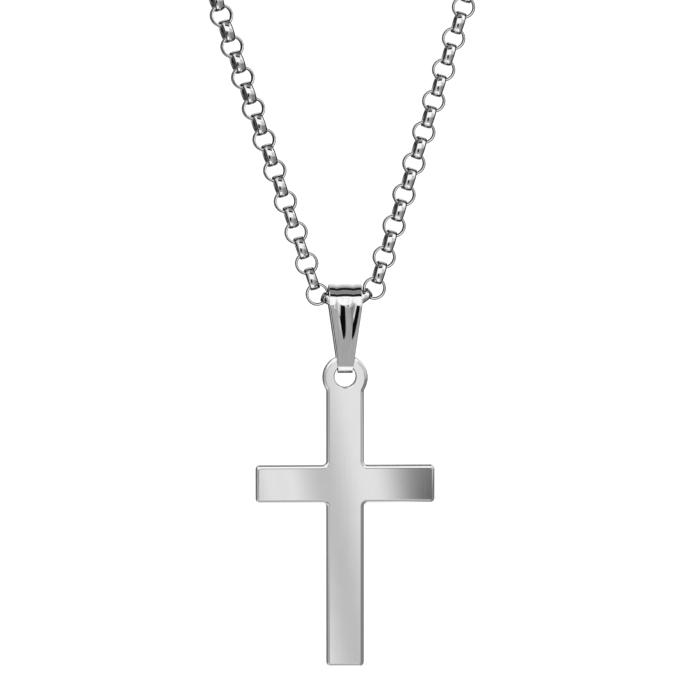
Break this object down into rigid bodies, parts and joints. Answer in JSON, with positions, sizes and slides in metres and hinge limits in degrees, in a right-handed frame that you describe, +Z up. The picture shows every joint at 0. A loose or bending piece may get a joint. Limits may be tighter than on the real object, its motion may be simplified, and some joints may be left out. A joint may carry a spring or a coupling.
{
  "type": "cross pendant necklace",
  "caption": "Latin cross pendant with a tapered ribbed bail on a rolo chain, a closed loop that hangs as it does when worn.",
  "frame": {"origin": "on the nape, where the clasp's middle lies against the back of the neck", "axes": "+Z up, +Y towards the wearer's back, +X to the right in the front view"},
  "size_m": [0.115, 0.0841, 0.1923],
  "materials": {
    "cross_metal": "polished steel with a soft sheen",
    "bail_metal": "bright polished steel",
    "chain_metal": "polished steel"
  },
  "bodies": {
    "chain_loop": {"chain": "chain_metal", "clasp": "chain_metal"},
    "bail": {"bail": "bail_metal"},
    "cross": {"cross": "cross_metal"}
  },
  "joints": [
    {"name": "bail_swing", "type": "hinge", "parent": "chain_loop", "child": "bail", "pos_m": [0.00051, -0.0785, -0.14351], "axis": [1, 0, 0], "range_deg": [-75, 75]},
    {"name": "cross_swing", "type": "hinge", "parent": "bail", "child": "cross", "pos_m": [0.00051, -0.0785, -0.15045], "axis": [1, 0, 0], "range_deg": [-60, 60]}
  ]
}
